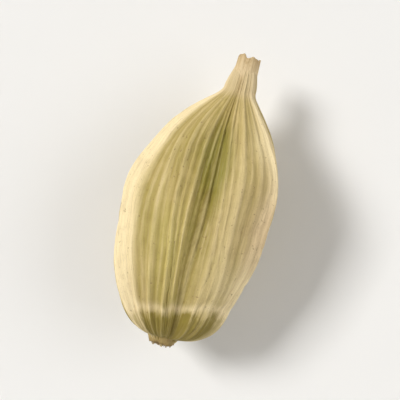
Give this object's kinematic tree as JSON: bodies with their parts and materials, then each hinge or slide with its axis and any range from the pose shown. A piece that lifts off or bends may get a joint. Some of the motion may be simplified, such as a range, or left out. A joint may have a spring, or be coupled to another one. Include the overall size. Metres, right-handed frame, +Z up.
{
  "type": "green cardamom pod",
  "caption": "Dried green cardamom pod: a three-sided, ribbed, spindle-shaped seed capsule with a short beak and a cut stalk stub, lying on a small flat spot.",
  "frame": {"origin": "bottom centre of the pod's box, on the surface that the pod lies on", "axes": "+Y along the pod from its stalk towards its beak, +Z up through the middle of the upper side, +X to the right when seen from above with the beak away from the viewer"},
  "size_m": [0.0082, 0.0164, 0.0078],
  "materials": {
    "husk": "dry papery husk, matt, straw with a green cast, fine lengthwise ribs"
  },
  "bodies": {
    "root": {"cardamom_pod": "husk"}
  },
  "joints": []
}
